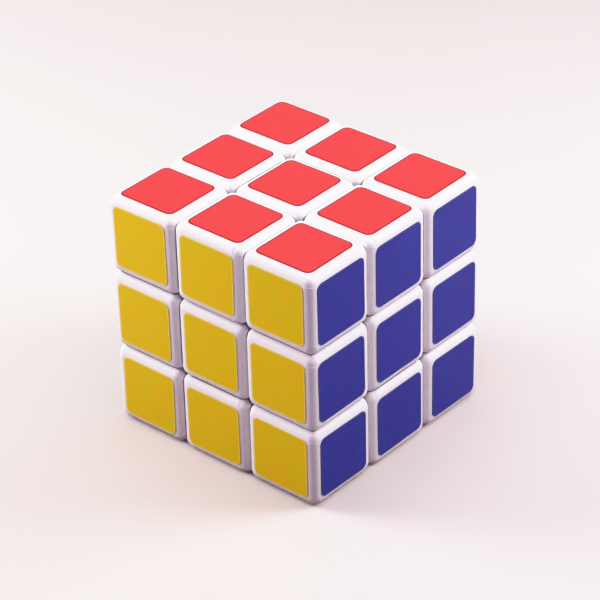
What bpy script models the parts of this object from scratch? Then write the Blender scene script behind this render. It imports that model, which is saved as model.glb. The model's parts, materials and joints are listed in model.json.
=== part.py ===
"""A twisty puzzle cube with its whole inner mechanism: 57 mm across, three layers along each axis.

Metres, +Z up, origin at the centre of the core, where the three turning axes cross.
Up is +Z, front is -Y, right is +X. Each family of pieces is modelled once, in a home place, and
every copy is carried from there to its own place by one of the cube's own turns.

How it works: outside a sphere the layers part along planes half a cubie from the centre. Inside
it they part along planes closer in, so every edge and corner has a foot that reaches past its own
cubie and under its neighbours. The centres hold the edges in, the edges hold the corners in, and
six screws with springs hold the centres to the core.
"""

import math

import bmesh
import bpy
from mathutils import Matrix, Vector

MM = 0.001

# Driving dimensions of the cube
CUBE_SIZE = 57.0 * MM  # across two opposite stickers
STICKER_THICKNESS = 0.15 * MM
STICKER_GLUE_GAP = 0.02 * MM
STICKER_WIDTH = 14.9 * MM
STICKER_CORNER_RADIUS = 1.5 * MM
GAP = 0.4 * MM  # between neighbouring pieces
WALL = 1.5 * MM
EDGE_ROUNDING = 2.0 * MM
ROUNDING_CUT = 0.15 * MM  # what a cubie's inner walls cut off the rounding's far end

PITCH = CUBE_SIZE / 3
CUT = PITCH / 2  # distance of the outer cut planes from the centre
SKIN = CUBE_SIZE / 2 - STICKER_THICKNESS - STICKER_GLUE_GAP  # outer face of the white plastic
CUBIE_LOW = CUT + GAP / 2
HALF_WIDTH = CUT - GAP / 2  # half the width of a cubie on the middle of an axis

# The foot mechanism
FOOT_CUT = 4.7 * MM  # distance of the inner cut planes from the centre
FOOT_OUTER_RADIUS = 20.8 * MM
SHELL_RADIUS = 21.4 * MM  # the cubies start outside this sphere
CORNER_FOOT_BASE = 14.5 * MM  # along the corner's diagonal
CORNER_FOOT_RADIUS = 8.5 * MM
CORNER_NECK_WIDTH = 3.4 * MM
EDGE_FOOT_BASE = 12.5 * MM  # along the edge's diagonal
EDGE_NECK_WIDTH = 6.0 * MM
MOULDING_HOLE_RADIUS = 1.2 * MM  # down the middle of each foot, into the hollow cubie

# The centre pieces, measured along their own axis from the middle of the cube
STEM_RADIUS = 4.3 * MM
STEM_FOOT = 8.8 * MM
STEM_FLOOR = 2.0 * MM
SPRING_WELL_RADIUS = 3.1 * MM
SCREW_CLEARANCE_RADIUS = 1.55 * MM
CAP_THICKNESS = 1.8 * MM
CAP_JOINT = SKIN - CAP_THICKNESS  # the cap's underside
CAP_GAP = 0.05 * MM
CAP_SKIRT_DEPTH = 3.0 * MM
CAP_SKIRT_WALL = 1.2 * MM

# The core and its hardware
CORE_BALL_RADIUS = 5.2 * MM
CORE_ARM_RADIUS = 3.6 * MM
CORE_ARM_END = 8.5 * MM
CORE_HOLE_RADIUS = 1.4 * MM
CORE_HOLE_BOTTOM = 2.6 * MM
SCREW_TIP = 3.2 * MM
SCREW_POINT = 1.0 * MM
SCREW_SHANK_RADIUS = 1.2 * MM
SCREW_HEAD_RADIUS = 2.7 * MM
SCREW_HEAD_BASE = 21.1 * MM
SCREW_HEAD_HEIGHT = 1.8 * MM
SCREW_SLOT_DEPTH = 1.1 * MM
SCREW_SLOT_LENGTH = 3.0 * MM
SCREW_SLOT_WIDTH = 0.7 * MM
WASHER_INNER_RADIUS = 1.55 * MM
WASHER_OUTER_RADIUS = 2.8 * MM
WASHER_BASE = 20.25 * MM
WASHER_THICKNESS = 0.5 * MM
SPRING_MEAN_RADIUS = 2.35 * MM
SPRING_WIRE_RADIUS = 0.25 * MM
SPRING_LOW = 11.1 * MM
SPRING_HIGH = 20.0 * MM
SPRING_COILS = 5

# Fineness
SPHERE_SEGMENTS = 24
BALL_SEGMENTS = 16
ROUND_SEGMENTS = 12
HOLE_SEGMENTS = 8
ROUNDING_SEGMENTS = 2
STICKER_ARC_SEGMENTS = 2
SPRING_POINTS_PER_COIL = 8
SPRING_WIRE_SIDES = 4

BEYOND = 5.0 * MM  # how far a cutter runs past what it cuts
SMOOTH_ANGLE = math.radians(35)

DIRECTIONS = {
    "up": Vector((0, 0, 1)),
    "down": Vector((0, 0, -1)),
    "front": Vector((0, -1, 0)),
    "back": Vector((0, 1, 0)),
    "left": Vector((-1, 0, 0)),
    "right": Vector((1, 0, 0)),
}
STICKER_COLOURS = {
    "up": ("sticker_red", (0.80, 0.045, 0.055)),
    "down": ("sticker_orange", (0.85, 0.20, 0.02)),
    "front": ("sticker_yellow", (0.62, 0.40, 0.01)),
    "back": ("sticker_black", (0.015, 0.015, 0.017)),
    "left": ("sticker_green", (0.02, 0.28, 0.07)),
    "right": ("sticker_blue", (0.03, 0.035, 0.30)),
}


def clear_scene():
    for obj in list(bpy.data.objects):
        bpy.data.objects.remove(obj)


def plastic_or_metal(name, colour, roughness, metallic=0.0):
    material = bpy.data.materials.new(name)
    material.use_nodes = True
    shader = material.node_tree.nodes["Principled BSDF"]
    shader.inputs["Base Color"].default_value = (*colour, 1.0)
    shader.inputs["Roughness"].default_value = roughness
    shader.inputs["Metallic"].default_value = metallic
    material.diffuse_color = (*colour, 1.0)
    return material


def shape_from(bm, name):
    """A scene object holding this bmesh, with its normals facing out."""
    bmesh.ops.recalc_face_normals(bm, faces=bm.faces)
    mesh = bpy.data.meshes.new(name)
    bm.to_mesh(mesh)
    bm.free()
    obj = bpy.data.objects.new(name, mesh)
    bpy.context.scene.collection.objects.link(obj)
    return obj


def box(low, high, rounding=0.0):
    """An upright box between two corners, with all its edges rounded if asked."""
    bm = bmesh.new()
    bmesh.ops.create_cube(bm, size=1.0)
    low, high = Vector(low), Vector(high)
    for vertex in bm.verts:
        vertex.co = Vector(
            high[axis] if vertex.co[axis] > 0 else low[axis] for axis in range(3)
        )
    if rounding:
        bmesh.ops.bevel(
            bm,
            geom=bm.edges[:],
            offset=rounding,
            offset_type="OFFSET",
            segments=ROUNDING_SEGMENTS,
            profile=0.5,
            affect="EDGES",
        )
    return shape_from(bm, "box")


def sphere(radius, segments=SPHERE_SEGMENTS):
    bm = bmesh.new()
    bmesh.ops.create_uvsphere(
        bm, u_segments=segments, v_segments=segments // 2, radius=radius
    )
    return shape_from(bm, "sphere")


def cylinder(radius, start, end, direction=(0, 0, 1), segments=ROUND_SEGMENTS):
    """A rod along a line through the origin, from one distance to another."""
    bm = bmesh.new()
    bmesh.ops.create_cone(
        bm,
        cap_ends=True,
        segments=segments,
        radius1=radius,
        radius2=radius,
        depth=end - start,
    )
    along = Vector(direction).normalized()
    bmesh.ops.translate(bm, vec=(0, 0, (start + end) / 2), verts=bm.verts)
    bmesh.ops.rotate(bm, matrix=along.to_track_quat("Z", "Y").to_matrix(), verts=bm.verts)
    return shape_from(bm, "cylinder")


def turned(profile, segments=ROUND_SEGMENTS):
    """The solid that a closed outline of (radius, height) points sweeps round the Z axis."""
    bm = bmesh.new()
    ring = [bm.verts.new((radius, 0, height)) for radius, height in profile]
    edges = [bm.edges.new((a, b)) for a, b in zip(ring, ring[1:])]
    if profile[0][0] > 0:
        edges.append(bm.edges.new((ring[-1], ring[0])))
    bmesh.ops.spin(
        bm,
        geom=ring + edges,
        axis=(0, 0, 1),
        cent=(0, 0, 0),
        steps=segments,
        angle=math.tau,
        use_merge=True,
    )
    bmesh.ops.remove_doubles(bm, verts=bm.verts, dist=0.001 * MM)
    return shape_from(bm, "turned")


def rounded_square(width, radius, low, high):
    """A plate with rounded corners, square to the Z axis, between two heights."""
    inner = width / 2 - radius
    bm = bmesh.new()
    outline = []
    for quarter in range(4):
        start = quarter * math.pi / 2
        centre_x = inner * (1 if quarter in (0, 3) else -1)
        centre_y = inner * (1 if quarter in (0, 1) else -1)
        for step in range(STICKER_ARC_SEGMENTS + 1):
            angle = start + step * math.pi / 2 / STICKER_ARC_SEGMENTS
            x = centre_x + radius * math.cos(angle)
            y = centre_y + radius * math.sin(angle)
            outline.append(bm.verts.new((x, y, low)))
    face = bm.faces.new(outline)
    lifted = bmesh.ops.extrude_face_region(bm, geom=[face])["geom"]
    raised = [item for item in lifted if isinstance(item, bmesh.types.BMVert)]
    bmesh.ops.translate(bm, vec=(0, 0, high - low), verts=raised)
    return shape_from(bm, "plate")


def combine(first, operation, second):
    """Joins, cuts or intersects the first shape with the second, which is used up."""
    modifier = first.modifiers.new(operation, "BOOLEAN")
    modifier.operation = operation
    modifier.object = second
    graph = bpy.context.evaluated_depsgraph_get()
    made = bpy.data.meshes.new_from_object(first.evaluated_get(graph))
    first.modifiers.clear()
    first.data = made
    bpy.data.objects.remove(second)
    return first


def cube_turns():
    """The 24 turns that carry a cube onto itself."""
    axes = list(DIRECTIONS.values())
    for x_axis in axes:
        for z_axis in axes:
            if x_axis.dot(z_axis) == 0:
                yield Matrix((x_axis, z_axis.cross(x_axis), z_axis)).transposed()


def turn_onto(home, place):
    """The first of those turns that carries the home direction onto the place."""
    return next(turn for turn in cube_turns() if (turn @ home - place).length < 0.5)


def place_copy(name, master, home, place, material):
    """A named piece of the cube that shares the master's mesh."""
    obj = bpy.data.objects.new(name, master.data)
    obj.matrix_world = turn_onto(home, place).to_4x4()
    bpy.context.scene.collection.objects.link(obj)
    if not obj.data.materials:
        obj.data.materials.append(material)
    return obj


def finish_master(master):
    master.data.shade_smooth()
    master.data.set_sharp_from_angle(angle=SMOOTH_ANGLE)
    return master


def sticker_pad(face):
    """The raised pad that stands for the sticker on one face of a cubie, up to its outer surface."""
    pad = rounded_square(STICKER_WIDTH, STICKER_CORNER_RADIUS, SKIN - WALL / 2, CUBE_SIZE / 2)
    pad.data.transform(turn_onto(DIRECTIONS["up"], DIRECTIONS[face]).to_4x4())
    return pad


def shift(obj, offset):
    obj.data.transform(Matrix.Translation(offset))
    return obj


def hollow(low, high, diagonal):
    """The inside of a cubie: a box, stopped short of the mechanism by a flat floor."""
    space = box(low, high)
    floor = cylinder(PITCH * 2, 0, SHELL_RADIUS + WALL, diagonal, segments=4)
    return combine(space, "DIFFERENCE", floor)


def foot(low, high, base, diagonal):
    """The part of a piece under its neighbours: a block between a flat base and a ball's surface."""
    block = sphere(FOOT_OUTER_RADIUS)
    combine(block, "INTERSECT", box(low, high))
    return combine(block, "DIFFERENCE", cylinder(PITCH * 2, 0, base, diagonal, segments=4))


def cell_block(low, high):
    """A block rounded all round, with crisp edges where its inner walls meet the rounding."""
    past_low = [value - ROUNDING_CUT for value in low]
    past_high = [value + (0 if value == SKIN else ROUNDING_CUT) for value in high]
    block = box(past_low, past_high, EDGE_ROUNDING)
    return combine(block, "INTERSECT", box(low, high))


def home_corner():
    """A corner cubie at the back, right and top, its foot reaching under the three edges."""
    diagonal = (1, 1, 1)
    corner = cell_block([CUBIE_LOW] * 3, [SKIN] * 3)
    combine(corner, "DIFFERENCE", sphere(SHELL_RADIUS))
    inside = hollow([CUBIE_LOW + WALL] * 3, [SKIN - WALL] * 3, diagonal)
    combine(corner, "DIFFERENCE", inside)

    reach = foot([FOOT_CUT + GAP / 2] * 3, [SKIN] * 3, CORNER_FOOT_BASE, diagonal)
    combine(reach, "INTERSECT", cylinder(CORNER_FOOT_RADIUS, 0, SKIN, diagonal))
    combine(reach, "UNION", box([CUBIE_LOW] * 3, [CUBIE_LOW + CORNER_NECK_WIDTH] * 3))
    combine(corner, "UNION", reach)
    hole = cylinder(MOULDING_HOLE_RADIUS, 0, SKIN, diagonal, HOLE_SEGMENTS)
    combine(corner, "DIFFERENCE", hole)
    for face, offset in (
        ("up", (PITCH, PITCH, 0)),
        ("right", (0, PITCH, PITCH)),
        ("back", (PITCH, 0, PITCH)),
    ):
        combine(corner, "UNION", shift(sticker_pad(face), offset))
    return finish_master(corner)


def home_edge():
    """An edge cubie at the back and top, its foot reaching under the two centres."""
    diagonal = (0, 1, 1)
    edge = cell_block((-HALF_WIDTH, CUBIE_LOW, CUBIE_LOW), (HALF_WIDTH, SKIN, SKIN))
    combine(edge, "DIFFERENCE", sphere(SHELL_RADIUS))
    inside = hollow(
        (WALL - HALF_WIDTH, CUBIE_LOW + WALL, CUBIE_LOW + WALL),
        (HALF_WIDTH - WALL, SKIN - WALL, SKIN - WALL),
        diagonal,
    )
    combine(edge, "DIFFERENCE", inside)

    foot_low = FOOT_CUT + GAP / 2
    half_width = FOOT_CUT - GAP / 2
    reach = foot(
        (-half_width, foot_low, foot_low), (half_width, SKIN, SKIN), EDGE_FOOT_BASE, diagonal
    )
    neck_high = CUBIE_LOW + EDGE_NECK_WIDTH
    neck = box((-half_width, CUBIE_LOW, CUBIE_LOW), (half_width, neck_high, neck_high))
    combine(reach, "UNION", neck)
    combine(edge, "UNION", reach)
    hole = cylinder(MOULDING_HOLE_RADIUS, 0, SKIN, diagonal, HOLE_SEGMENTS)
    combine(edge, "DIFFERENCE", hole)
    combine(edge, "UNION", shift(sticker_pad("up"), (0, PITCH, 0)))
    combine(edge, "UNION", shift(sticker_pad("back"), (0, 0, PITCH)))
    return finish_master(edge)


def home_centre_housing():
    """The square cup at the top that rides on its screw, with the spring's well in its stem."""
    housing = cell_block((-HALF_WIDTH, -HALF_WIDTH, CUBIE_LOW), (HALF_WIDTH, HALF_WIDTH, SKIN))
    above = box((-CUT, -CUT, CAP_JOINT - CAP_GAP), (CUT, CUT, SKIN + BEYOND))
    combine(housing, "DIFFERENCE", above)
    combine(housing, "DIFFERENCE", sphere(SHELL_RADIUS))

    inside = HALF_WIDTH - WALL
    pocket_floor = SHELL_RADIUS + WALL / 2
    pocket = box((-inside, -inside, pocket_floor), (inside, inside, SKIN))
    combine(housing, "DIFFERENCE", pocket)
    combine(housing, "UNION", cylinder(STEM_RADIUS, STEM_FOOT, pocket_floor))
    well_floor = STEM_FOOT + STEM_FLOOR
    combine(housing, "DIFFERENCE", cylinder(SPRING_WELL_RADIUS, well_floor, SKIN))
    bore = cylinder(SCREW_CLEARANCE_RADIUS, STEM_FOOT - BEYOND, well_floor + BEYOND)
    combine(housing, "DIFFERENCE", bore)
    return finish_master(housing)


def home_centre_cap():
    """The cap that closes the cup over the screw, with a square skirt that grips inside it."""
    cap = cell_block((-HALF_WIDTH, -HALF_WIDTH, CUBIE_LOW), (HALF_WIDTH, HALF_WIDTH, SKIN))
    below = box((-CUT, -CUT, CUBIE_LOW - BEYOND), (CUT, CUT, CAP_JOINT))
    combine(cap, "DIFFERENCE", below)
    outside = HALF_WIDTH - WALL - GAP
    inside = outside - CAP_SKIRT_WALL
    skirt_low = CAP_JOINT - CAP_SKIRT_DEPTH
    skirt = box((-outside, -outside, skirt_low), (outside, outside, CAP_JOINT + WALL / 2))
    bowl = box((-inside, -inside, skirt_low - BEYOND), (inside, inside, CAP_JOINT))
    combine(skirt, "DIFFERENCE", bowl)
    return finish_master(combine(cap, "UNION", skirt))


def home_sticker():
    low = CUBE_SIZE / 2 - STICKER_THICKNESS
    return finish_master(
        rounded_square(STICKER_WIDTH, STICKER_CORNER_RADIUS, low, CUBE_SIZE / 2)
    )


def home_screw():
    """A self-tapping screw with a domed head and a cross recess."""
    head_top = SCREW_HEAD_BASE + SCREW_HEAD_HEIGHT
    screw = turned(
        [
            (0, SCREW_TIP),
            (SCREW_SHANK_RADIUS, SCREW_TIP + SCREW_POINT),
            (SCREW_SHANK_RADIUS, SCREW_HEAD_BASE),
            (SCREW_HEAD_RADIUS, SCREW_HEAD_BASE),
            (SCREW_HEAD_RADIUS, head_top - SCREW_HEAD_HEIGHT / 2),
            (SCREW_HEAD_RADIUS * 0.7, head_top),
            (0, head_top),
        ]
    )
    length, width = SCREW_SLOT_LENGTH / 2, SCREW_SLOT_WIDTH / 2
    low, high = head_top - SCREW_SLOT_DEPTH, head_top + BEYOND
    recess = box((-length, -width, low), (length, width, high))
    combine(recess, "UNION", box((-width, -length, low), (width, length, high)))
    return finish_master(combine(screw, "DIFFERENCE", recess))


def home_washer():
    top = WASHER_BASE + WASHER_THICKNESS
    return finish_master(
        turned(
            [
                (WASHER_INNER_RADIUS, WASHER_BASE),
                (WASHER_OUTER_RADIUS, WASHER_BASE),
                (WASHER_OUTER_RADIUS, top),
                (WASHER_INNER_RADIUS, top),
            ]
        )
    )


def home_spring():
    """A compression spring round the screw, a helix of round wire."""
    low = SPRING_LOW + SPRING_WIRE_RADIUS
    rise = SPRING_HIGH - SPRING_LOW - 2 * SPRING_WIRE_RADIUS
    steps = SPRING_COILS * SPRING_POINTS_PER_COIL
    bm = bmesh.new()
    rings = []
    for step in range(steps + 1):
        angle = math.tau * step / SPRING_POINTS_PER_COIL
        outward = Vector((math.cos(angle), math.sin(angle), 0))
        middle = outward * SPRING_MEAN_RADIUS
        middle.z = low + rise * step / steps
        ring = []
        for side in range(SPRING_WIRE_SIDES):
            around = math.tau * side / SPRING_WIRE_SIDES
            offset = outward * math.cos(around) + Vector((0, 0, math.sin(around)))
            ring.append(bm.verts.new(middle + offset * SPRING_WIRE_RADIUS))
        rings.append(ring)
    for ring, following in zip(rings, rings[1:]):
        for side in range(SPRING_WIRE_SIDES):
            beside = (side + 1) % SPRING_WIRE_SIDES
            bm.faces.new((ring[side], ring[beside], following[beside], following[side]))
    bm.faces.new(rings[0])
    bm.faces.new(rings[-1])
    return finish_master(shape_from(bm, "spring"))


def core_spider():
    """The six-armed core, with a blind screw hole down each arm."""
    core = sphere(CORE_BALL_RADIUS, BALL_SEGMENTS)
    hole_end = CORE_ARM_END + BEYOND
    for direction in DIRECTIONS.values():
        combine(core, "UNION", cylinder(CORE_ARM_RADIUS, 0, CORE_ARM_END, direction))
    for direction in DIRECTIONS.values():
        hole = cylinder(CORE_HOLE_RADIUS, CORE_HOLE_BOTTOM, hole_end, direction, HOLE_SEGMENTS)
        combine(core, "DIFFERENCE", hole)
    core.name = "core"
    return finish_master(core)


def build_cube():
    clear_scene()
    white = plastic_or_metal("white_plastic", (0.86, 0.85, 0.85), 0.3)
    grey = plastic_or_metal("core_plastic", (0.55, 0.55, 0.56), 0.5)
    steel = plastic_or_metal("screw_steel", (0.56, 0.56, 0.58), 0.3, 1.0)
    spring_steel = plastic_or_metal("spring_steel", (0.40, 0.40, 0.42), 0.35, 1.0)

    core_spider().data.materials.append(grey)

    up, back, right = (DIRECTIONS[name] for name in ("up", "back", "right"))
    centre_parts = (
        ("centre_housing", home_centre_housing(), white),
        ("centre_cap", home_centre_cap(), white),
        ("tension_screw", home_screw(), steel),
        ("screw_washer", home_washer(), steel),
        ("tension_spring", home_spring(), spring_steel),
    )
    for name, master, material in centre_parts:
        for side, direction in DIRECTIONS.items():
            place_copy(f"{name}_{side}", master, up, direction, material)
        bpy.data.objects.remove(master)

    for side, direction in DIRECTIONS.items():
        master = home_sticker()
        name, colour = STICKER_COLOURS[side]
        vinyl = plastic_or_metal(name, colour, 0.3)
        place_copy(f"centre_sticker_{side}", master, up, direction, vinyl)
        bpy.data.objects.remove(master)

    edge, corner = home_edge(), home_corner()
    for layer in ("up", "down"):
        for side in ("front", "right", "back", "left"):
            place = DIRECTIONS[layer] + DIRECTIONS[side]
            place_copy(f"edge_{layer}_{side}", edge, up + back, place, white)
    for depth in ("front", "back"):
        for side in ("right", "left"):
            place = DIRECTIONS[depth] + DIRECTIONS[side]
            place_copy(f"edge_{depth}_{side}", edge, up + back, place, white)
            for layer in ("up", "down"):
                corner_place = place + DIRECTIONS[layer]
                name = f"corner_{layer}_{depth}_{side}"
                place_copy(name, corner, up + back + right, corner_place, white)
    bpy.data.objects.remove(edge)
    bpy.data.objects.remove(corner)


build_cube()
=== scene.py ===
"""The looks of the twisty puzzle cube: fine cubies, vinyl stickers, and the screws and springs inside.

Metres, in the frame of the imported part: up is +Z, front is -Y, right is +X, and the origin is the
centre of the core. As on the part, each family of pieces is modelled once in a home place and
carried to its own places by the cube's turns.
"""

import json
import math
import random

import bmesh
import bpy
from mathutils import Matrix, Vector


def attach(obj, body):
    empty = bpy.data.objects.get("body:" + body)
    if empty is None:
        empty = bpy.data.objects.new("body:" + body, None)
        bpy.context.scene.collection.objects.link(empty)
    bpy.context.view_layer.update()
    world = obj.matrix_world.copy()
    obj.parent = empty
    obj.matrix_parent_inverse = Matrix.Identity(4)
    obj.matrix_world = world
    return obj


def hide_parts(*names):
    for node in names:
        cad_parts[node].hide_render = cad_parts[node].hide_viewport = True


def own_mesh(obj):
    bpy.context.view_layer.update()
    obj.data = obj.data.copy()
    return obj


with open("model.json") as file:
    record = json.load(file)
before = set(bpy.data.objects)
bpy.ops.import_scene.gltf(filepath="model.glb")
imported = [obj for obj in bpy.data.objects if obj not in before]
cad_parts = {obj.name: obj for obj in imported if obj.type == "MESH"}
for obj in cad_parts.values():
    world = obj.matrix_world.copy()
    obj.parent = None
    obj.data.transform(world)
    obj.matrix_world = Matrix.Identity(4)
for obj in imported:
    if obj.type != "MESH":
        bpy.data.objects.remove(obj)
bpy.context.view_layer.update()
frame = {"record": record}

MM = 0.001

# The cube
HALF = 28.5 * MM  # from the centre to the stickers' outer faces
PITCH = HALF * 2 / 3
CUT = PITCH / 2
GAP = 0.4 * MM
LOW = CUT + GAP / 2  # where a cubie starts
WIDE = CUT - GAP / 2  # half the width of a cubie in the middle of an axis
STICKER = 0.15 * MM
SKIN = HALF - STICKER  # outer face of the plastic
WALL = 1.5 * MM
ROUNDING = 2.0 * MM
ROUNDING_CUT = 0.15 * MM  # what a cubie's inner walls cut off the rounding's far end
STRIP_ROUNDING = 1.75 * MM  # the moulded edges along one axis stand a little proud
STRIP_END = 2.1 * MM  # where they stop short of a cubie's ends
INNER_ROUNDING = WALL / 2

# The feet
FOOT_LOW = 4.9 * MM
FOOT_WIDE = 4.5 * MM
FOOT_RADIUS = 20.8 * MM
FOOT_ROUNDING = 0.4 * MM
SHELL_RADIUS = 21.4 * MM  # the ball that the cubies' shells stay out of
CORNER_FOOT_BASE = 14.5 * MM
CORNER_FOOT_RADIUS = 8.5 * MM
EDGE_FOOT_BASE = 12.5 * MM
CORNER_NECK = 3.4 * MM
EDGE_NECK = 6.0 * MM
HOLE_RADIUS = 1.2 * MM

# The stickers
STICKER_WIDTH = 14.9 * MM
STICKER_CORNER = 1.5 * MM
STICKER_LIFT = 0.02 * MM
STICKER_EDGE = 0.05 * MM  # how much its edges are softened
STICKER_SHOULDER = 0.3  # the share of that at the middle of the softened edge
STICKER_RIM = 0.34 * MM  # width of the outline
STICKER_SHIFT = 0.15 * MM  # how far by hand a sticker may be off its place
STICKER_TWIST = math.radians(0.5)
STICKER_SEED = 3

# The centres
STEM_RADIUS = 4.3 * MM
STEM_FOOT = 8.8 * MM
WELL_FLOOR = 10.8 * MM
WELL_RADIUS = 3.1 * MM
BORE_RADIUS = 1.55 * MM
CAP_JOINT = 26.55 * MM  # the cap's underside
CAP_GAP = 0.05 * MM
POCKET_FLOOR = 22.15 * MM
SKIRT_DEPTH = 3.0 * MM
SKIRT_WALL = 1.2 * MM

# The core and its hardware
CORE_BALL = 5.2 * MM
CORE_ARM = 3.6 * MM
CORE_ARM_END = 8.5 * MM
CORE_HOLE = 1.4 * MM
CORE_HOLE_BOTTOM = 2.6 * MM
SCREW_TIP = 3.2 * MM
SCREW_ROOT = 1.0 * MM
SCREW_SHANK = 1.2 * MM
SCREW_CREST = 1.25 * MM
SCREW_THREAD_PITCH = 0.8 * MM
SCREW_THREAD_END = 9.0 * MM
SCREW_RUNOUT = 0.3 * MM
THREAD_SINK = 0.8  # where the ridge's base lies in the rod, as a share of the rod's radius
THREAD_START = 0.9  # where its tip is at its two ends, as a share of the rod's radius
THREAD_BASE = 0.36  # half the ridge's width at its base, as a share of the pitch
THREAD_TIP = 0.15  # its width at the tip, as a share of that at the base
SCREW_HEAD = 2.7 * MM
SCREW_HEAD_BASE = 21.1 * MM
SCREW_HEAD_TOP = 22.9 * MM
SCREW_HEAD_RIM = 0.3  # the share of the head's height below its dome
RECESS_DEPTH = 1.1 * MM
RECESS_LENGTH = 3.0 * MM
RECESS_WIDTH = 0.7 * MM
WASHER_HOLE = 1.55 * MM
WASHER_RADIUS = 2.8 * MM
WASHER_BASE = 20.25 * MM
WASHER_TOP = 20.75 * MM
WASHER_EDGE = 0.08 * MM
SPRING_RADIUS = 2.35 * MM
SPRING_WIRE = 0.25 * MM
SPRING_LOW = 11.1 * MM
SPRING_HIGH = 20.0 * MM
SPRING_COILS = 6.0
SPRING_CLOSED = 0.8  # how many turns are closed up at each end
SPRING_CLOSED_RISE = SPRING_WIRE * 2.05  # along the axis, for each closed turn

# Fineness
BALL_STEPS = 64
ROUND_STEPS = 48
CORE_HOLE_STEPS = 32
HOLE_STEPS = 24
ROUNDING_STEPS = 6
INNER_STEPS = 3
STICKER_ARC_STEPS = 8
DOME_STEPS = 10
THREAD_STEPS = 24
COIL_STEPS = 32
WIRE_STEPS = 12
SMOOTH_ANGLE = math.radians(32)
CRISP_ANGLE = math.radians(20)
SQUARE_ON = 0.99  # how far a face's normal must lie along an axis to be part of a flat wall
BEYOND = 5.0 * MM  # how far a cutter runs past what it cuts
MERGE = 0.0005 * MM

# The stage
FLOOR_RADIUS = 1.0
BACKDROP_CURVE = 0.6
BACKDROP_LEVEL = 0.02  # the backdrop's level start, as a share of its curve
BACKDROP_HEIGHT = 1.6
STAGE_STEPS = 96
STAGE_MERGE = 0.01 * MM
GLOW_START = 0.3
GLOW_END = 0.65
GLOW = 0.5
GLOW_COLOUR = (1.0, 0.93, 0.92, 1)
CARD_RADIUS = 70 * MM
CARD_DROP = 0.5 * MM

# The light: degrees round from the front and up, distance, size, power, colour, seen in the gloss
LIGHTS = {
    "top_softbox": (0, 89, 1.8, 1.8, 19.0, (0.98, 1.0, 1.0), True),
    "left_softbox": (-62, 26, 0.38, 0.22, 1.9, (1.0, 0.965, 0.94), False),
    "right_softbox": (134, 32, 0.32, 0.2, 1.2, (1.0, 0.965, 0.985), False),
}
WORLD_COLOUR = (0.95, 0.71, 1.0, 1)
WORLD_STRENGTH = 0.33
TONE_WHITE = 2.0
TONE_SHOULDER = ((0.5, 0.5), (0.7, 0.68), (0.9, 0.83), (1.1, 0.91), (1.4, 0.965))

# The camera
CAMERA_AZIMUTH = 41.16
CAMERA_ELEVATION = 32.09
CAMERA_ROLL = math.radians(-1.5)
CAMERA_DISTANCE = 0.5925
CAMERA_OFFSET = (0.54 * MM, -0.79 * MM)
CAMERA_LENS = 162.9
CAMERA_NEAR = 0.01
CAMERA_FAR = 20.0
SENSOR = 36.0

DIRECTIONS = {
    "up": Vector((0, 0, 1)),
    "down": Vector((0, 0, -1)),
    "front": Vector((0, -1, 0)),
    "back": Vector((0, 1, 0)),
    "left": Vector((-1, 0, 0)),
    "right": Vector((1, 0, 0)),
}
STICKER_SLOTS = {
    "up": "sticker_red",
    "down": "sticker_orange",
    "front": "sticker_yellow",
    "back": "sticker_black",
    "left": "sticker_green",
    "right": "sticker_blue",
}
STICKER_COLOURS = {
    "sticker_red": (0.74, 0.044, 0.045),
    "sticker_orange": (0.80, 0.19, 0.018),
    "sticker_yellow": (0.80, 0.54, 0.004),
    "sticker_black": (0.014, 0.014, 0.016),
    "sticker_green": (0.012, 0.24, 0.055),
    "sticker_blue": (0.0165, 0.02, 0.245),
}
# The outlines: painted shade of the stickers' cut edges, darker than the stickers, and on yellow a
# paler painted highlight.
RIM_SHADE_AND_HIGHLIGHT_COLOURS = {
    "sticker_red": (0.09, 0.008, 0.010),
    "sticker_orange": (0.30, 0.07, 0.010),
    "sticker_yellow": (0.92, 0.69, 0.13),
    "sticker_black": (0.006, 0.006, 0.007),
    "sticker_green": (0.006, 0.10, 0.025),
    "sticker_blue": (0.03, 0.032, 0.20),
}
VINYL_WARM = (1.05, 0.96, 0.96)
VINYL_COOL = (0.95, 1.04, 1.03)
# how much darker the painted outline gets in random patches
RIM_DARKER_PATCHES = (0.75, 0.75, 0.75)
FILM_WHITE = 0.1  # how much of the film's gloss is white, and not the sticker's own colour


# Materials


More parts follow.
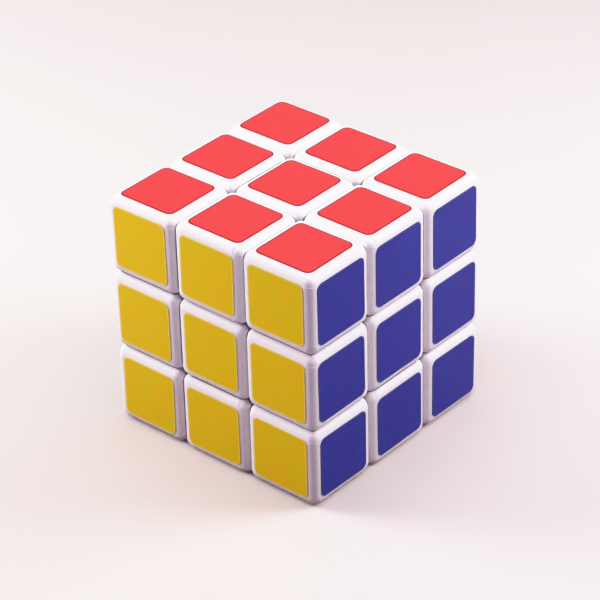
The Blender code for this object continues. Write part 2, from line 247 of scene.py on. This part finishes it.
class Nodes:
    """A short way to build one material's node tree."""

    def __init__(self, name):
        self.material = bpy.data.materials.new(name)
        self.material.use_nodes = True
        self.tree = self.material.node_tree
        self.shader = self.tree.nodes["Principled BSDF"]
        self.place = self.add("ShaderNodeTexCoord").outputs["Object"]

    def add(self, kind, **settings):
        """A new node of this kind, with these settings."""
        node = self.tree.nodes.new(kind)
        for key, value in settings.items():
            setattr(node, key, value)
        return node

    def join(self, output, socket):
        self.tree.links.new(output, socket)

    def set(self, **values):
        """Values for the shader's own sockets, by their names with underscores for spaces."""
        for key, value in values.items():
            self.shader.inputs[key.replace("_", " ")].default_value = value

    def noise(self, size, detail=2.0, stretch=(1, 1, 1)):
        """Noise whose features are about as wide as the given size in metres."""
        mapping = self.add("ShaderNodeMapping")
        mapping.inputs["Scale"].default_value = [s / size for s in stretch]
        noise = self.add("ShaderNodeTexNoise")
        noise.inputs["Scale"].default_value = 1.0
        noise.inputs["Detail"].default_value = detail
        self.join(self.place, mapping.inputs["Vector"])
        self.join(mapping.outputs["Vector"], noise.inputs["Vector"])
        return noise.outputs["Fac"]

    def ramp(self, value, low, high, start, end):
        """A value mapped from one range to another."""
        node = self.add("ShaderNodeMapRange")
        node.inputs["From Min"].default_value = low
        node.inputs["From Max"].default_value = high
        node.inputs["To Min"].default_value = start
        node.inputs["To Max"].default_value = end
        self.join(value, node.inputs["Value"])
        return node.outputs["Result"]

    def mix(self, value, first, second):
        node = self.add("ShaderNodeMix", data_type="RGBA")
        node.inputs["A"].default_value = (*first, 1)
        node.inputs["B"].default_value = (*second, 1)
        self.join(value, node.inputs["Factor"])
        return node.outputs["Result"]

    def bump(self, height, depth, strength, below=None):
        """A bump of a height field that is about this deep in metres, on top of another if given."""
        node = self.add("ShaderNodeBump")
        node.inputs["Strength"].default_value = strength
        node.inputs["Distance"].default_value = depth
        self.join(height, node.inputs["Height"])
        if below is not None:
            self.join(below, node.inputs["Normal"])
        return node.outputs["Normal"]

    def colour(self, value, first, second):
        """A base colour that drifts from one to the other with the value."""
        self.join(self.mix(value, first, second), self.shader.inputs["Base Color"])

    def roughness(self, value, low, high, smooth, rough):
        """A roughness that goes from smooth to rough as the value goes from low to high."""
        self.join(self.ramp(value, low, high, smooth, rough), self.shader.inputs["Roughness"])

    def relief(self, normal):
        self.join(normal, self.shader.inputs["Normal"])


def white_plastic():
    """Polished white ABS: nearly flat, a little uneven in gloss, with hairline scuffs."""
    m = Nodes("polished_white_abs")
    m.colour(m.noise(6 * MM, 3.0), (0.87, 0.83, 0.86), (0.83, 0.79, 0.822))
    m.roughness(m.noise(0.9 * MM, 5.0), 0.35, 0.75, 0.26, 0.38)
    ripple = m.bump(m.noise(2.4 * MM, 1.0), 0.02 * MM, 0.5)
    m.relief(m.bump(m.noise(0.35 * MM, 3.0), 0.0015 * MM, 0.6, ripple))
    m.set(Subsurface_Weight=0.1, Subsurface_Radius=(1.0, 0.72, 0.78), Subsurface_Scale=0.6 * MM)
    m.set(IOR=1.53)
    return m.material


def painted_seam_shade_plastic():
    """Painted shade for the seams: the white plastic painted dark on the faces that rub on their
    neighbours, and a little rougher.
    """
    m = Nodes("painted_seam_shade_abs")
    m.colour(m.noise(4 * MM, 3.0), (0.32, 0.29, 0.31), (0.26, 0.235, 0.25))
    m.roughness(m.noise(0.5 * MM, 4.0), 0.3, 0.7, 0.5, 0.68)
    m.relief(m.bump(m.noise(0.2 * MM, 3.0), 0.004 * MM, 0.7))
    return m.material


def core_plastic():
    """Satin grey plastic with the fine grain of its mould."""
    m = Nodes("satin_core_plastic")
    m.colour(m.noise(3 * MM, 2.0), (0.66, 0.66, 0.67), (0.58, 0.58, 0.6))
    m.roughness(m.noise(0.6 * MM, 4.0), 0.3, 0.7, 0.42, 0.58)
    m.relief(m.bump(m.noise(0.25 * MM, 3.0), 0.006 * MM, 0.7))
    return m.material


def steel(name, light, dark, smooth):
    """Drawn or plated steel: clouded in tone, with fine lines along it."""
    m = Nodes(name)
    m.colour(m.noise(1.5 * MM, 4.0), light, dark)
    lines = m.noise(0.12 * MM, 3.0, (1, 1, 0.2))
    m.roughness(lines, 0.3, 0.7, smooth, smooth + 0.16)
    m.relief(m.bump(lines, 0.002 * MM, 0.6))
    m.set(Metallic=1.0)
    return m.material


def times(colour, factors):
    return tuple(part * factor for part, factor in zip(colour, factors))


def vinyl(name, colour):
    """Printed vinyl under a clear film: faint mottling, slight waviness and a few fine scratches."""
    m = Nodes(name + "_vinyl")
    patches = m.ramp(m.noise(7 * MM, 3.0), 0.3, 0.7, 0, 1)
    m.colour(patches, times(colour, VINYL_WARM), times(colour, VINYL_COOL))
    m.roughness(m.noise(1.1 * MM, 4.0), 0.3, 0.75, 0.3, 0.46)
    wave = m.bump(m.noise(4.5 * MM, 1.0), 0.03 * MM, 0.5)
    m.relief(m.bump(m.noise(0.8 * MM, 4.0, (1, 0.12, 1)), 0.002 * MM, 0.5, wave))
    tint = tuple(FILM_WHITE + (1 - FILM_WHITE) * part / max(colour) for part in colour)
    m.set(IOR=1.36, Specular_Tint=(*tint, 1))
    return m.material


def vinyl_painted_edge_rim(name, colour):
    """The outline of a sticker: a duller band in a colour of its own, a painted shade of the cut edge
    on most colours and a paler painted highlight on yellow.
    """
    m = Nodes(name + "_outline")
    m.colour(m.noise(0.8 * MM, 3.0), colour, times(colour, RIM_DARKER_PATCHES))
    m.roughness(m.noise(0.4 * MM, 2.0), 0.3, 0.7, 0.45, 0.65)
    return m.material


# Shapes


def shape_from(bm, name):
    bmesh.ops.recalc_face_normals(bm, faces=bm.faces)
    mesh = bpy.data.meshes.new(name)
    bm.to_mesh(mesh)
    bm.free()
    obj = bpy.data.objects.new(name, mesh)
    bpy.context.scene.collection.objects.link(obj)
    return obj


def box(low, high, rounding=0.0, steps=ROUNDING_STEPS):
    """An upright box between two corners, with all its edges rounded if asked."""
    bm = bmesh.new()
    bmesh.ops.create_cube(bm, size=1.0)
    for vertex in bm.verts:
        vertex.co = Vector(high[i] if vertex.co[i] > 0 else low[i] for i in range(3))
    if rounding:
        bmesh.ops.bevel(
            bm,
            geom=bm.edges[:],
            offset=rounding,
            offset_type="OFFSET",
            segments=steps,
            profile=0.5,
            affect="EDGES",
        )
    return shape_from(bm, "box")


def sphere(radius):
    bm = bmesh.new()
    bmesh.ops.create_uvsphere(
        bm, u_segments=BALL_STEPS, v_segments=BALL_STEPS // 2, radius=radius
    )
    return shape_from(bm, "sphere")


def cylinder(radius, start, end, direction=(0, 0, 1), steps=ROUND_STEPS):
    """A rod along a line through the origin, from one distance to another."""
    bm = bmesh.new()
    bmesh.ops.create_cone(
        bm, cap_ends=True, segments=steps, radius1=radius, radius2=radius, depth=end - start
    )
    along = Vector(direction).normalized()
    bmesh.ops.translate(bm, vec=(0, 0, (start + end) / 2), verts=bm.verts)
    bmesh.ops.rotate(bm, matrix=along.to_track_quat("Z", "Y").to_matrix(), verts=bm.verts)
    return shape_from(bm, "cylinder")


def turned(profile, steps=ROUND_STEPS):
    """The solid that a closed outline of (radius, height) points sweeps round the Z axis."""
    bm = bmesh.new()
    ring = [bm.verts.new((radius, 0, height)) for radius, height in profile]
    edges = [bm.edges.new((a, b)) for a, b in zip(ring, ring[1:])]
    if profile[0][0] > 0:
        edges.append(bm.edges.new((ring[-1], ring[0])))
    bmesh.ops.spin(
        bm, geom=ring + edges, axis=(0, 0, 1), cent=(0, 0, 0), steps=steps, angle=math.tau,
        use_merge=True,
    )
    bmesh.ops.remove_doubles(bm, verts=bm.verts, dist=MERGE)
    return shape_from(bm, "turned")


def clean(piece):
    """Merge the points that the cuts left on top of each other."""
    bm = bmesh.new()
    bm.from_mesh(piece.data)
    bmesh.ops.remove_doubles(bm, verts=bm.verts, dist=MERGE)
    bm.to_mesh(piece.data)
    bm.free()
    return piece


def combine(first, operation, second):
    """Join, cut or intersect the first shape with the second, which is used up."""
    modifier = first.modifiers.new(operation, "BOOLEAN")
    modifier.operation = operation
    modifier.object = second
    graph = bpy.context.evaluated_depsgraph_get()
    made = bpy.data.meshes.new_from_object(first.evaluated_get(graph))
    first.modifiers.clear()
    first.data = made
    bpy.data.objects.remove(second)
    return first


def cube_turns():
    """The 24 turns that carry a cube onto itself."""
    axes = list(DIRECTIONS.values())
    for x_axis in axes:
        for z_axis in axes:
            if x_axis.dot(z_axis) == 0:
                yield Matrix((x_axis, z_axis.cross(x_axis), z_axis)).transposed()


def turn_onto(home, place):
    """A turn that carries the home direction onto the place, and keeps upright edges upright."""
    turns = [turn for turn in cube_turns() if (turn @ home - place).length < 0.5]
    return max(turns, key=lambda turn: abs(turn[2][2]))


def past_inner_walls(low, high):
    """A cubie's two corners, moved out where it has an inner wall by what that wall cuts off."""
    past_low = [value - ROUNDING_CUT for value in low]
    past_high = [value + (0 if value == SKIN else ROUNDING_CUT) for value in high]
    return past_low, past_high


def cell_block(low, high):
    """A block rounded all round, with crisp edges where its inner walls meet the rounding."""
    return combine(box(*past_inner_walls(low, high), ROUNDING), "INTERSECT", box(low, high))


def add_proud_edges(block, low, high, axis):
    """Leave the edges along one axis a little less rounded, with a fine ledge at both ends."""
    past_low, past_high = past_inner_walls(low, high)
    past_low[axis] -= BEYOND
    past_high[axis] += BEYOND
    ends_low, ends_high = list(low), list(high)
    ends_low[axis] += STRIP_END
    ends_high[axis] -= STRIP_END
    strip = combine(box(past_low, past_high, STRIP_ROUNDING), "INTERSECT", box(ends_low, ends_high))
    return combine(block, "UNION", strip)


def mark_painted_shade_faces(piece):
    """Give the second material, the painted seam shade, to the faces that meet the neighbours and to
    everything deeper.
    """
    for face in piece.data.polygons:
        on_wall = any(
            abs(face.normal[i]) > SQUARE_ON and abs(abs(face.center[i]) - CUT) < GAP
            for i in range(3)
        )
        deep = max(abs(value) for value in face.center) < SKIN - ROUNDING * 2
        # index 1 is the dark painted shade of the seams and of the deep inside
        face.material_index = int(on_wall or deep)
    return piece


def slab_below(height, diagonal):
    """A wide square slab across a diagonal, from the centre of the cube up to a height."""
    return cylinder(PITCH * 2, 0, height, diagonal, steps=4)


def hollow(low, high, diagonal):
    """The inside of a cubie, stopped short of the mechanism by a flat floor."""
    space = box(low, high, INNER_ROUNDING, INNER_STEPS)
    return combine(space, "DIFFERENCE", slab_below(SHELL_RADIUS + WALL, diagonal))


def foot(low, high, base, diagonal):
    """The part of a cubie under its neighbours, between a flat base and a ball's surface."""
    block = sphere(FOOT_RADIUS)
    combine(block, "INTERSECT", box(low, high, FOOT_ROUNDING, INNER_STEPS))
    return combine(block, "DIFFERENCE", slab_below(base, diagonal))


def home_corner():
    """A corner cubie at the back, right and top."""
    diagonal = (1, 1, 1)
    corner = cell_block([LOW] * 3, [SKIN] * 3)
    add_proud_edges(corner, [LOW] * 3, [SKIN] * 3, 2)
    combine(corner, "DIFFERENCE", sphere(SHELL_RADIUS))
    combine(corner, "DIFFERENCE", hollow([LOW + WALL] * 3, [SKIN - WALL] * 3, diagonal))
    reach = foot([FOOT_LOW] * 3, [SKIN] * 3, CORNER_FOOT_BASE, diagonal)
    combine(reach, "INTERSECT", cylinder(CORNER_FOOT_RADIUS, 0, SKIN, diagonal))
    combine(reach, "UNION", box([LOW] * 3, [LOW + CORNER_NECK] * 3))
    combine(corner, "UNION", reach)
    combine(corner, "DIFFERENCE", cylinder(HOLE_RADIUS, 0, SKIN, diagonal, HOLE_STEPS))
    return mark_painted_shade_faces(clean(corner))


def home_edge():
    """An edge cubie at the back and top."""
    diagonal = (0, 1, 1)
    low, high = (-WIDE, LOW, LOW), (WIDE, SKIN, SKIN)
    edge = cell_block(low, high)
    add_proud_edges(edge, low, high, 0)
    combine(edge, "DIFFERENCE", sphere(SHELL_RADIUS))
    inner_low, inner_high = [value + WALL for value in low], [value - WALL for value in high]
    combine(edge, "DIFFERENCE", hollow(inner_low, inner_high, diagonal))
    foot_low, foot_high = (-FOOT_WIDE, FOOT_LOW, FOOT_LOW), (FOOT_WIDE, SKIN, SKIN)
    reach = foot(foot_low, foot_high, EDGE_FOOT_BASE, diagonal)
    neck = box((-FOOT_WIDE, LOW, LOW), (FOOT_WIDE, LOW + EDGE_NECK, LOW + EDGE_NECK))
    combine(reach, "UNION", neck)
    combine(edge, "UNION", reach)
    combine(edge, "DIFFERENCE", cylinder(HOLE_RADIUS, 0, SKIN, diagonal, HOLE_STEPS))
    return mark_painted_shade_faces(clean(edge))


def home_housing():
    """The square cup at the top, with its stem and the spring's well."""
    housing = cell_block((-WIDE, -WIDE, LOW), (WIDE, WIDE, SKIN))
    above = box((-CUT, -CUT, CAP_JOINT - CAP_GAP), (CUT, CUT, HALF + BEYOND))
    combine(housing, "DIFFERENCE", above)
    combine(housing, "DIFFERENCE", sphere(SHELL_RADIUS))
    inner = WIDE - WALL
    low, high = (-inner, -inner, POCKET_FLOOR), (inner, inner, HALF)
    combine(housing, "DIFFERENCE", box(low, high, INNER_ROUNDING, INNER_STEPS))
    stem_top = (SHELL_RADIUS + POCKET_FLOOR) / 2
    combine(housing, "UNION", cylinder(STEM_RADIUS, STEM_FOOT, stem_top))
    combine(housing, "DIFFERENCE", cylinder(WELL_RADIUS, WELL_FLOOR, SKIN))
    combine(housing, "DIFFERENCE", cylinder(BORE_RADIUS, 0, WELL_FLOOR + BEYOND))
    return mark_painted_shade_faces(clean(housing))


def home_cap():
    """The cap that closes the cup over the screw, with a square skirt that grips inside it."""
    cap = cell_block((-WIDE, -WIDE, LOW), (WIDE, WIDE, SKIN))
    combine(cap, "DIFFERENCE", box((-CUT, -CUT, 0), (CUT, CUT, CAP_JOINT)))
    outer = WIDE - WALL - GAP
    inner = outer - SKIRT_WALL
    low = CAP_JOINT - SKIRT_DEPTH
    skirt_low, skirt_high = (-outer, -outer, low), (outer, outer, CAP_JOINT + WALL / 2)
    combine(cap, "UNION", box(skirt_low, skirt_high, INNER_ROUNDING / 2, INNER_STEPS))
    combine(cap, "DIFFERENCE", box((-inner, -inner, 0), (inner, inner, CAP_JOINT)))
    return mark_painted_shade_faces(clean(cap))


def sticker_ring(bm, inset, height):
    """One closed loop of the sticker's rounded outline, drawn in by the inset."""
    straight = STICKER_WIDTH / 2 - STICKER_CORNER
    radius = STICKER_CORNER - inset
    ring = []
    for quarter in range(4):
        across = straight * (1 if quarter in (0, 3) else -1)
        along = straight * (1 if quarter in (0, 1) else -1)
        for step in range(STICKER_ARC_STEPS + 1):
            angle = (quarter + step / STICKER_ARC_STEPS) * math.pi / 2
            x = across + radius * math.cos(angle)
            y = along + radius * math.sin(angle)
            ring.append(bm.verts.new((x, y, height)))
    return ring


def home_sticker():
    """A vinyl sticker at the top: a thin plate with softened edges and an outline."""
    bm = bmesh.new()
    low = SKIN + STICKER_LIFT
    shoulder = STICKER_EDGE * STICKER_SHOULDER
    rings = [
        sticker_ring(bm, STICKER_EDGE / 2, low),
        sticker_ring(bm, 0, low + STICKER_EDGE / 2),
        sticker_ring(bm, 0, HALF - STICKER_EDGE),
        sticker_ring(bm, shoulder, HALF - shoulder),
        sticker_ring(bm, STICKER_EDGE, HALF),
        sticker_ring(bm, STICKER_RIM, HALF),
    ]
    for lower, upper in zip(rings, rings[1:]):
        for i in range(len(lower)):
            j = (i + 1) % len(lower)
            face = bm.faces.new((lower[i], lower[j], upper[j], upper[i]))
            # the outline ring takes the second material, the painted edge shade and highlight
            face.material_index = int(upper is rings[-1])
    bm.faces.new(rings[-1])
    bm.faces.new(list(reversed(rings[0])))
    return shape_from(bm, "sticker")


def skin_rings(bm, rings):
    """Faces from each ring of points to the next, and one over each end."""
    for ring, following in zip(rings, rings[1:]):
        for side in range(len(ring)):
            beside = (side + 1) % len(ring)
            bm.faces.new((ring[side], ring[beside], following[beside], following[side]))
    bm.faces.new(rings[0])
    bm.faces.new(list(reversed(rings[-1])))


def thread():
    """The screw's ridge, a closed solid that rises out of the rod and sinks back within a turn."""
    half = SCREW_THREAD_PITCH * THREAD_BASE
    low, high = SCREW_TIP + SCREW_ROOT + half, SCREW_THREAD_END - half
    count = int((high - low) / SCREW_THREAD_PITCH * THREAD_STEPS)
    sunk, start = SCREW_ROOT * THREAD_SINK, SCREW_ROOT * THREAD_START
    bm = bmesh.new()
    rings = []
    for step in range(count + 1):
        # The rings lie half a step round from the rod's own points, so that the two cross cleanly.
        angle = math.tau * (step / THREAD_STEPS + 0.5 / ROUND_STEPS)
        middle = low + (high - low) * step / count
        fade = min(1.0, step / THREAD_STEPS, (count - step) / THREAD_STEPS)
        tip = start + (SCREW_CREST - start) * fade
        outline = ((sunk, -half), (tip, -half * THREAD_TIP), (tip, half * THREAD_TIP), (sunk, half))
        ring = []
        for radius, up in outline:
            x, y = radius * math.cos(angle), radius * math.sin(angle)
            ring.append(bm.verts.new((x, y, middle + up)))
        rings.append(ring)
    skin_rings(bm, rings)
    bmesh.ops.triangulate(bm, faces=bm.faces[:])
    return shape_from(bm, "thread")


def home_screw():
    """A self-tapping screw with a domed head, a cross recess and a thread that ends below the stem."""
    rise = SCREW_HEAD_TOP - SCREW_HEAD_BASE
    dome = []
    for step in range(DOME_STEPS):
        angle = math.pi / 2 * step / DOME_STEPS
        share = SCREW_HEAD_RIM + (1 - SCREW_HEAD_RIM) * math.sin(angle)
        dome.append((SCREW_HEAD * math.cos(angle), SCREW_HEAD_BASE + rise * share))
    screw = turned(
        [
            (0, SCREW_TIP),
            (SCREW_ROOT, SCREW_TIP + SCREW_ROOT),
            (SCREW_ROOT, SCREW_THREAD_END),
            (SCREW_SHANK, SCREW_THREAD_END + SCREW_RUNOUT),
            (SCREW_SHANK, SCREW_HEAD_BASE),
            (SCREW_HEAD, SCREW_HEAD_BASE),
            *dome,
            (0, SCREW_HEAD_TOP),
        ]
    )
    low, high = SCREW_HEAD_TOP - RECESS_DEPTH, SCREW_HEAD_TOP + BEYOND
    length, width = RECESS_LENGTH / 2, RECESS_WIDTH / 2
    recess = box((-length, -width, low), (length, width, high))
    combine(recess, "UNION", box((-width, -length, low), (width, length, high)))
    combine(screw, "DIFFERENCE", recess)
    return clean(combine(screw, "UNION", thread()))


def home_washer():
    """A flat ring with its edges broken."""
    return turned(
        [
            (WASHER_HOLE, WASHER_BASE + WASHER_EDGE),
            (WASHER_HOLE + WASHER_EDGE, WASHER_BASE),
            (WASHER_RADIUS - WASHER_EDGE, WASHER_BASE),
            (WASHER_RADIUS, WASHER_BASE + WASHER_EDGE),
            (WASHER_RADIUS, WASHER_TOP - WASHER_EDGE),
            (WASHER_RADIUS - WASHER_EDGE, WASHER_TOP),
            (WASHER_HOLE + WASHER_EDGE, WASHER_TOP),
            (WASHER_HOLE, WASHER_TOP - WASHER_EDGE),
        ]
    )


def wire_height(turns):
    """How high the middle of the spring's wire lies, this many turns from its lower end."""
    low, high = SPRING_LOW + SPRING_WIRE, SPRING_HIGH - SPRING_WIRE
    from_end = min(turns, SPRING_COILS - turns)
    if from_end < SPRING_CLOSED:
        height = low + from_end * SPRING_CLOSED_RISE
    else:
        closed = SPRING_CLOSED * SPRING_CLOSED_RISE
        share = (from_end - SPRING_CLOSED) / (SPRING_COILS - 2 * SPRING_CLOSED)
        height = low + closed + share * (high - low - 2 * closed)
    return height if turns <= SPRING_COILS / 2 else low + high - height


def home_spring():
    """A compression spring of round wire, its end coils closed up flat."""
    bm = bmesh.new()
    rings = []
    for step in range(int(SPRING_COILS * COIL_STEPS) + 1):
        turns = step / COIL_STEPS
        outward = Vector((math.cos(math.tau * turns), math.sin(math.tau * turns), 0))
        middle = outward * SPRING_RADIUS + Vector((0, 0, wire_height(turns)))
        ring = []
        for side in range(WIRE_STEPS):
            around = math.tau * side / WIRE_STEPS
            offset = outward * math.cos(around) + Vector((0, 0, math.sin(around)))
            ring.append(bm.verts.new(middle + offset * SPRING_WIRE))
        rings.append(ring)
    skin_rings(bm, rings)
    return shape_from(bm, "spring")


def home_core():
    """A ball with six arms, and a blind hole for a screw in each."""
    core = sphere(CORE_BALL)
    for direction in DIRECTIONS.values():
        combine(core, "UNION", cylinder(CORE_ARM, 0, CORE_ARM_END, direction))
    for direction in DIRECTIONS.values():
        hole_end = CORE_ARM_END + BEYOND
        hole = cylinder(CORE_HOLE, CORE_HOLE_BOTTOM, hole_end, direction, CORE_HOLE_STEPS)
        combine(core, "DIFFERENCE", hole)
    return clean(core)


# Assembly


def body_of(node):
    """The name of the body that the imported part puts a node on."""
    for name, members in frame["record"]["behaviour"]["bodies"].items():
        if node in members:
            return name
    raise ValueError(node)


def place_piece(name, master, turn, body, materials, node=None, weighted=True):
    """A piece in its own place, with its own mesh, riding on its body."""
    mesh = master.data.copy()
    mesh.transform(turn.to_4x4())
    for material in materials:
        mesh.materials.append(material)
    mesh.shade_smooth()
    mesh.set_sharp_from_angle(angle=CRISP_ANGLE if weighted else SMOOTH_ANGLE)
    piece = bpy.data.objects.new(name, mesh)
    bpy.context.scene.collection.objects.link(piece)
    if weighted:
        modifier = piece.modifiers.new("flat_faces_stay_flat", "WEIGHTED_NORMAL")
        modifier.keep_sharp = True
    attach(piece, body)
    if node:
        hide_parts(node)
    return piece


def add_centres(white, finishes):
    """On each side the housing, the cap, and the screw with its washer and spring."""
    up = DIRECTIONS["up"]
    families = (
        ("centre_housing", home_housing(), "white_plastic", white, True),
        ("centre_cap", home_cap(), "white_plastic", white, True),
        ("tension_screw", home_screw(), "screw_steel", [finishes["screw"]], False),
        ("screw_washer", home_washer(), "screw_steel", [finishes["screw"]], False),
        ("tension_spring", home_spring(), "spring_steel", [finishes["spring"]], False),
    )
    for family, master, slot, materials, weighted in families:
        for side, direction in DIRECTIONS.items():
            node = f"{family}_{side}"
            piece = place_piece(
                f"{node}_fine", master, turn_onto(up, direction), body_of(node), materials,
                node, weighted,
            )
            if family == "tension_spring":
                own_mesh(piece)
        bpy.data.objects.remove(master)


def stickers_of(place):
    """The sides that a cubie at this place shows, one for each axis that it is off the middle of."""
    return [side for side, direction in DIRECTIONS.items() if direction.dot(place) > 0]


def add_stickers(cubie, place, body, sticker, finishes, hand):
    """The stickers of one cubie, each laid by hand, so a little off its place."""
    up = DIRECTIONS["up"]
    for side in stickers_of(place):
        direction = DIRECTIONS[side]
        slot = STICKER_SLOTS[side]
        shift = (hand.uniform(-1, 1) * STICKER_SHIFT, hand.uniform(-1, 1) * STICKER_SHIFT, 0)
        twist = Matrix.Rotation(hand.uniform(-1, 1) * STICKER_TWIST, 4, "Z")
        turn = Matrix.Translation((place - direction) * PITCH) @ turn_onto(up, direction).to_4x4()
        turn = turn @ Matrix.Translation(shift) @ twist
        node = cubie if cubie.startswith("centre_sticker") else None
        name = f"{cubie}_fine" if node else f"{cubie}_{slot}"
        place_piece(name, sticker, turn, body, finishes[slot], node)


def cubie_places():
    """Where each edge and corner cubie sits, in steps of a cubie from the core."""
    places = {}
    for layer in ("up", "down"):
        for side in ("front", "right", "back", "left"):
            places[f"edge_{layer}_{side}"] = DIRECTIONS[layer] + DIRECTIONS[side]
    for depth in ("front", "back"):
        for side in ("right", "left"):
            middle = DIRECTIONS[depth] + DIRECTIONS[side]
            places[f"edge_{depth}_{side}"] = middle
            for layer in ("up", "down"):
                places[f"corner_{layer}_{depth}_{side}"] = middle + DIRECTIONS[layer]
    return places


def add_cubies(white, finishes):
    """The edges and corners with their stickers, and the six centres' stickers."""
    up, back, right = (DIRECTIONS[name] for name in ("up", "back", "right"))
    edge, corner, sticker = home_edge(), home_corner(), home_sticker()
    hand = random.Random(STICKER_SEED)
    for node, place in cubie_places().items():
        is_edge = node.startswith("edge")
        master, home = (edge, up + back) if is_edge else (corner, up + back + right)
        body = body_of(node)
        place_piece(
            f"{node}_fine", master, turn_onto(home, place), body, white, node
        )
        add_stickers(node, place, body, sticker, finishes, hand)
    for side, direction in DIRECTIONS.items():
        node = f"centre_sticker_{side}"
        add_stickers(node, direction, body_of(node), sticker, finishes, hand)
    for master in (edge, corner, sticker):
        bpy.data.objects.remove(master)


def add_core(material):
    master = home_core()
    turn = Matrix.Identity(3)
    place_piece("core_fine", master, turn, body_of("core"), [material], "core", False)
    bpy.data.objects.remove(master)


# The stage


def paper():
    """Pale paper, with a glow that grows away from the cube, so that it is as pale far off."""
    m = Nodes("pale_paper")
    m.colour(m.noise(60 * MM, 2.0), (0.66, 0.588, 0.56), (0.64, 0.568, 0.542))
    m.relief(m.bump(m.noise(0.5 * MM, 3.0), 0.02 * MM, 0.3))
    away = m.add("ShaderNodeVectorMath", operation="LENGTH")
    m.join(m.place, away.inputs[0])
    glow = m.ramp(away.outputs["Value"], GLOW_START, GLOW_END, 0, GLOW)
    m.join(glow, m.shader.inputs["Emission Strength"])
    m.set(Emission_Color=GLOW_COLOUR, Roughness=0.9)
    return m.material


def add_stage_surface(name, profile, material):
    """A surface that a line of (radius, height) points sweeps round the cube, above its underside."""
    bm = bmesh.new()
    line = [bm.verts.new((radius, 0, height - HALF)) for radius, height in profile]
    edges = [bm.edges.new((a, b)) for a, b in zip(line, line[1:])]
    bmesh.ops.spin(
        bm, geom=line + edges, axis=(0, 0, 1), cent=(0, 0, 0), steps=STAGE_STEPS, angle=math.tau,
        use_merge=True,
    )
    bmesh.ops.remove_doubles(bm, verts=bm.verts, dist=STAGE_MERGE)
    surface = shape_from(bm, name)
    surface.data.shade_smooth()
    surface.data.materials.append(material)
    surface.visible_diffuse = False
    surface.visible_shadow = False
    return surface


def add_stage():
    """A pale floor, and a backdrop round it that starts level with it and curves up."""
    material = paper()
    add_stage_surface("floor", ((0, 0), (FLOOR_RADIUS / 2, 0), (FLOOR_RADIUS, 0)), material)
    curve = [(FLOOR_RADIUS, 0)]
    for step in range(STAGE_STEPS // 4 + 1):
        angle = math.tau * step / STAGE_STEPS
        across = FLOOR_RADIUS + BACKDROP_CURVE * (BACKDROP_LEVEL + math.sin(angle))
        curve.append((across, BACKDROP_CURVE * (1 - math.cos(angle))))
    curve.append((curve[-1][0], BACKDROP_HEIGHT))
    add_stage_surface("backdrop", curve, material).visible_glossy = False


def add_bounce_card():
    """A dark warm disc under the floor that only soft light meets: it shades the lowest layer."""
    bm = bmesh.new()
    bmesh.ops.create_circle(bm, cap_ends=True, segments=ROUND_STEPS, radius=CARD_RADIUS)
    card = shape_from(bm, "bounce_card")
    card.location.z = -HALF - CARD_DROP
    m = Nodes("dark_card")
    m.colour(m.noise(20 * MM, 2.0), (0.10, 0.03, 0.04), (0.09, 0.026, 0.035))
    m.set(Roughness=1.0)
    card.data.materials.append(m.material)
    card.visible_camera = False
    card.visible_glossy = False
    card.visible_shadow = False


def direction_of(azimuth, elevation):
    """The way to a point this many degrees round from the front to the right, and this high."""
    across, rise = math.radians(azimuth), math.radians(elevation)
    return Vector(
        (math.sin(across) * math.cos(rise), -math.cos(across) * math.cos(rise), math.sin(rise))
    )


def add_light(name, azimuth, elevation, distance, size, power, colour, in_gloss):
    """A round softbox that faces the cube."""
    light = bpy.data.lights.new(name, "AREA")
    light.shape = "DISK"
    light.size = size
    light.energy = power
    light.color = colour
    lamp = bpy.data.objects.new(name, light)
    towards = direction_of(azimuth, elevation)
    lamp.location = towards * distance
    lamp.rotation_euler = towards.to_track_quat("Z", "Y").to_euler()
    lamp.visible_glossy = in_gloss
    bpy.context.scene.collection.objects.link(lamp)


def add_world():
    """Soft light from all round."""
    world = bpy.data.worlds.new("studio")
    world.use_nodes = True
    background = world.node_tree.nodes["Background"]
    background.inputs["Color"].default_value = WORLD_COLOUR
    background.inputs["Strength"].default_value = WORLD_STRENGTH
    bpy.context.scene.world = world


def add_camera():
    """A camera that looks down at the cube's front and right sides, rolled a little."""
    back = direction_of(CAMERA_AZIMUTH, CAMERA_ELEVATION)
    level = direction_of(CAMERA_AZIMUTH + 90, 0)
    upright = back.cross(level)
    right = level * math.cos(CAMERA_ROLL) + upright * math.sin(CAMERA_ROLL)
    up = back.cross(right)
    camera = bpy.data.objects.new("camera", bpy.data.cameras.new("camera"))
    camera.data.lens = CAMERA_LENS
    camera.data.sensor_width = SENSOR
    camera.data.clip_start = CAMERA_NEAR
    camera.data.clip_end = CAMERA_FAR
    turn = Matrix((right, up, back)).transposed()
    spot = back * CAMERA_DISTANCE + right * CAMERA_OFFSET[0] + up * CAMERA_OFFSET[1]
    camera.matrix_world = Matrix.Translation(spot) @ turn.to_4x4()
    bpy.context.scene.collection.objects.link(camera)
    bpy.context.scene.camera = camera


def set_tone():
    """Plain colours with a soft shoulder, so that the brightest whites keep their shape."""
    view = bpy.context.scene.view_settings
    view.view_transform = "Standard"
    view.use_curve_mapping = True
    view.curve_mapping.white_level = [TONE_WHITE] * 3
    shoulder = view.curve_mapping.curves[-1]
    for bright, shown in TONE_SHOULDER:
        shoulder.points.new(bright / TONE_WHITE, shown)
    view.curve_mapping.update()


# the second white material is the painted shade for the seams
white = [white_plastic(), painted_seam_shade_plastic()]
finishes = {
    "screw": steel("zinc_plated_steel", (0.62, 0.62, 0.63), (0.5, 0.5, 0.52), 0.24),
    "spring": steel("spring_wire", (0.44, 0.44, 0.46), (0.33, 0.33, 0.35), 0.28),
}
for slot, colour in STICKER_COLOURS.items():
    finishes[slot] = [vinyl(slot, colour), vinyl_painted_edge_rim(slot, RIM_SHADE_AND_HIGHLIGHT_COLOURS[slot])]

add_core(core_plastic())
add_centres(white, finishes)
add_cubies(white, finishes)
add_stage()
add_bounce_card()
for name, settings in LIGHTS.items():
    add_light(name, *settings)
add_world()
add_camera()
set_tone()
